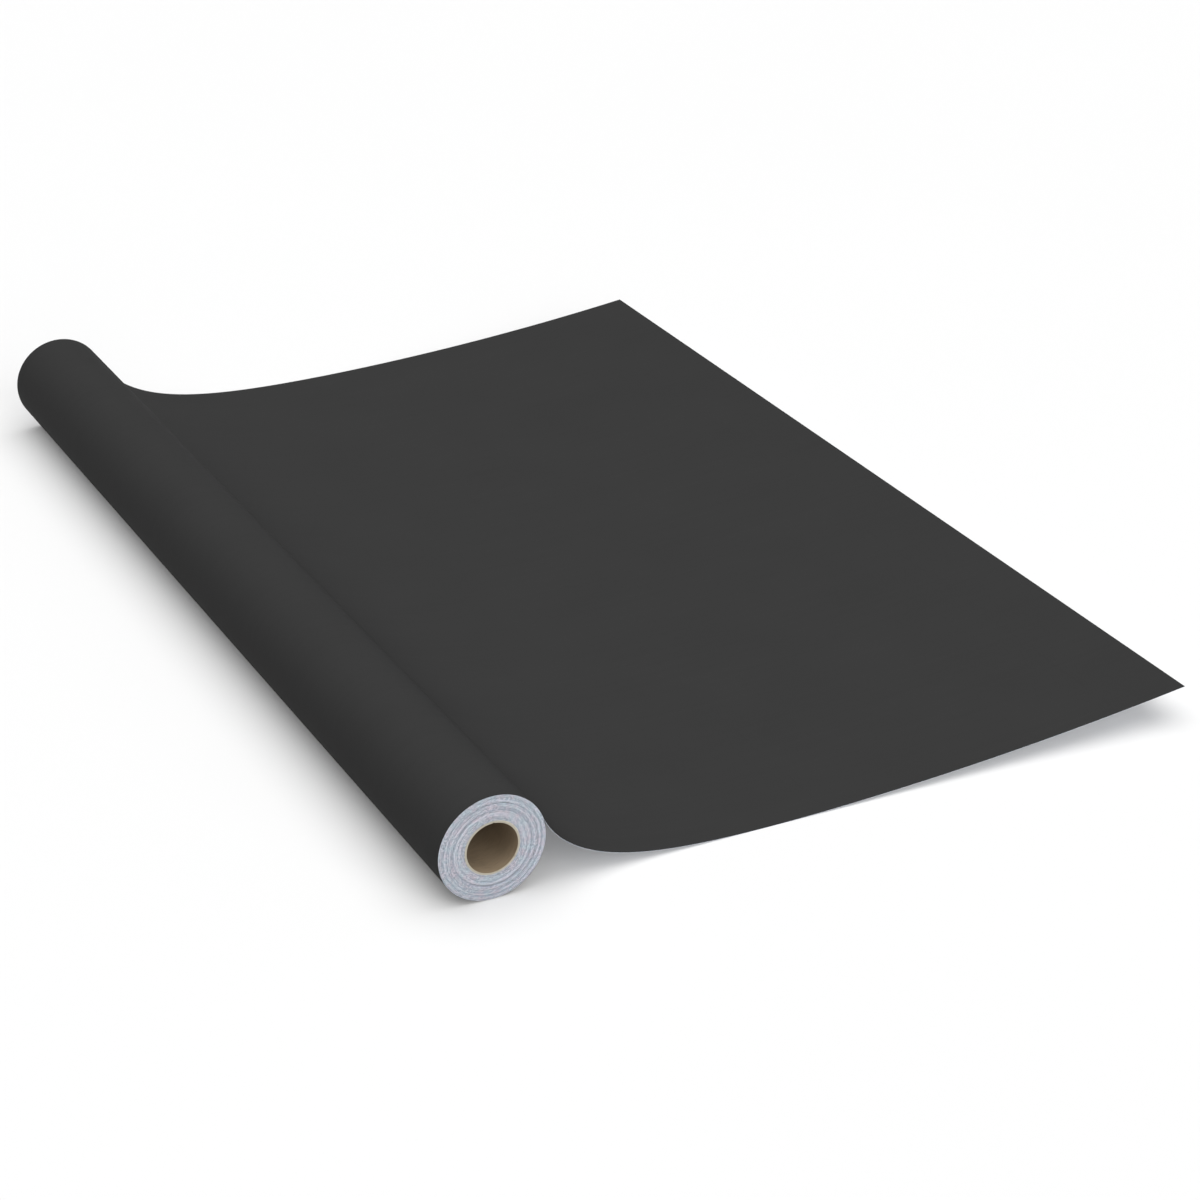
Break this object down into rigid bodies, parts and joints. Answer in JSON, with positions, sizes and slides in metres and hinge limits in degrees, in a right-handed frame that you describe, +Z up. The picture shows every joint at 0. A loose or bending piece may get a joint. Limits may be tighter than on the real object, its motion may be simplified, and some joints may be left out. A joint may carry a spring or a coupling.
{
  "type": "roll of sign vinyl",
  "caption": "Self-adhesive vinyl film on a release liner, wound on a paper core and partly unrolled over the top onto a flat surface, with a free end that lifts and film that peels back.",
  "frame": {"origin": "middle of the footprint on the table, under the assembly's bounding box", "axes": "+Y along the roll's axis and the web's width, +X the way the web runs off the roll, +Z up"},
  "size_m": [0.6176, 0.9, 0.08],
  "materials": {
    "kraft_board": "matt brown kraft board, spiral wound, with cut edges paler",
    "paper_tape": "cream paper tape, matt",
    "release_liner": "pale silicone-coated paper with a blue-grey cast, faint satin sheen",
    "vinyl_film": "matt anthracite PVC film with a very fine grain"
  },
  "bodies": {
    "bend": {"bend_liner": "release_liner", "bend_film": "vinyl_film"},
    "roll": {"core_inner_ply": "kraft_board", "core_middle_ply": "kraft_board", "core_outer_ply": "kraft_board", "start_tape": "paper_tape", "wound_liner": "release_liner", "wound_film": "vinyl_film", "outer_lap_liner": "release_liner", "outer_lap_film": "vinyl_film"},
    "sheet": {"sheet_liner": "release_liner", "sheet_film": "vinyl_film"},
    "tail": {"tail_liner": "release_liner", "tail_film": "vinyl_film"},
    "flap": {"peel_film": "vinyl_film"}
  },
  "joints": [
    {"name": "roll_turn", "type": "hinge", "parent": "bend", "child": "roll", "pos_m": [-0.26884, 0, 0.04], "axis": [0, 1, 0], "range_deg": [-90, 360]},
    {"name": "sheet_feed", "type": "slide", "parent": "bend", "child": "sheet", "axis": [1, 0, 0], "range_m": [-0.0629, 0.2514], "deforming": ["bend_liner", "bend_film"]},
    {"name": "tail_lift", "type": "hinge", "parent": "sheet", "child": "tail", "pos_m": [0.03542, 0, 0.00261], "axis": [0, -1, 0], "range_deg": [-5, 75], "stiffness_Nm_per_rad": 2, "springref_deg": 2.18},
    {"name": "film_peel", "type": "hinge", "parent": "tail", "child": "flap", "pos_m": [0.24931, 0, 0.02067], "axis": [0, -1, 0], "range_deg": [0, 150]}
  ],
  "couplings": [
    {"joint": "sheet_feed", "follows": "roll_turn", "m_per_rad": 0.04}
  ]
}
